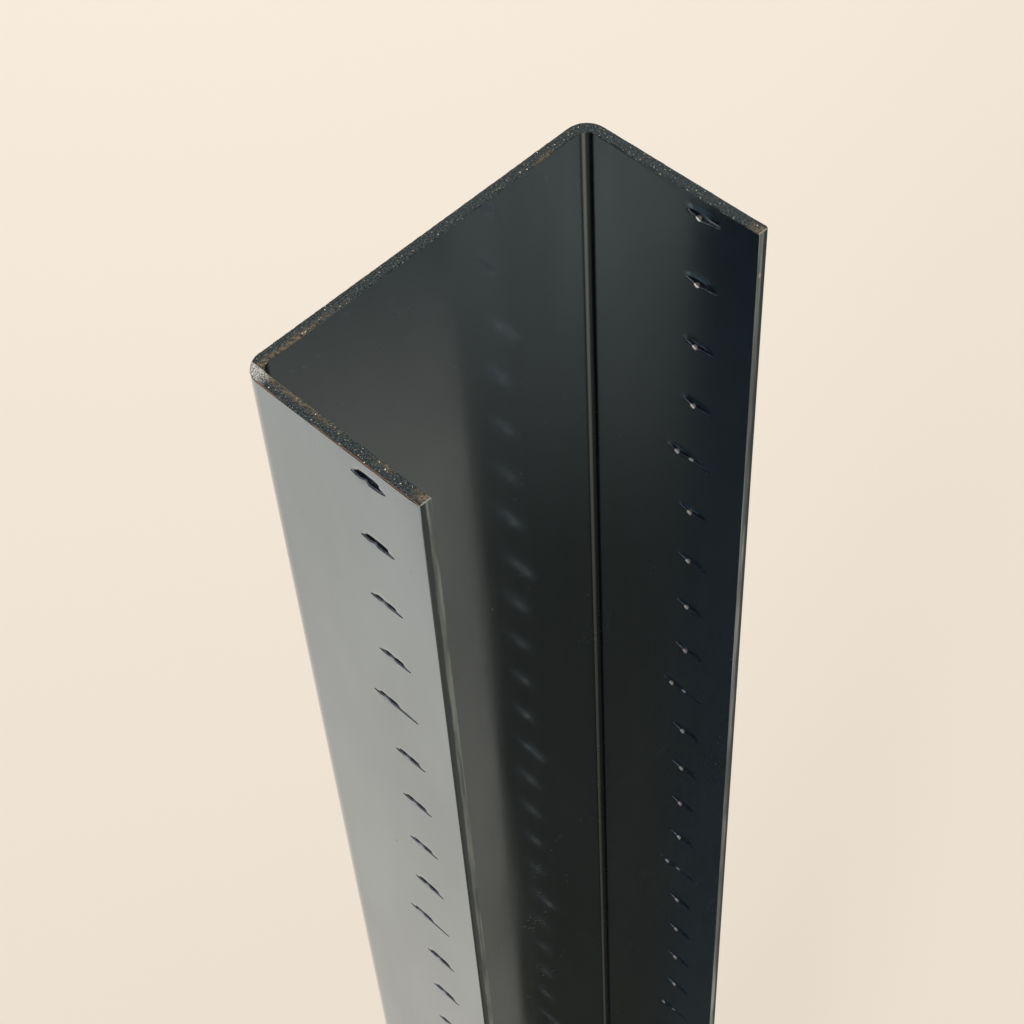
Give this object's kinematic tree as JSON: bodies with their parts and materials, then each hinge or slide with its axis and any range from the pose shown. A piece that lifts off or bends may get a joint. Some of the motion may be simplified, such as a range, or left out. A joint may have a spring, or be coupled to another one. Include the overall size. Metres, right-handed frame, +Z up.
{
  "type": "slotted channel post",
  "caption": "Upright steel channel post, cold formed in one piece, with a row of short lanced slits down each flange for clips or wire ties.",
  "frame": {"origin": "middle of the foot's bounding rectangle, on the plane that the post stands on", "axes": "+Z up along the post, +Y out of the web's outer face, the open side faces -Y, the flanges are at -X and +X"},
  "size_m": [0.1, 0.052, 1],
  "materials": {
    "post_steel": "smooth dark grey, semi-gloss, bare speckled metal on the cut ends"
  },
  "bodies": {
    "root": {"channel_post": "post_steel"}
  },
  "joints": []
}
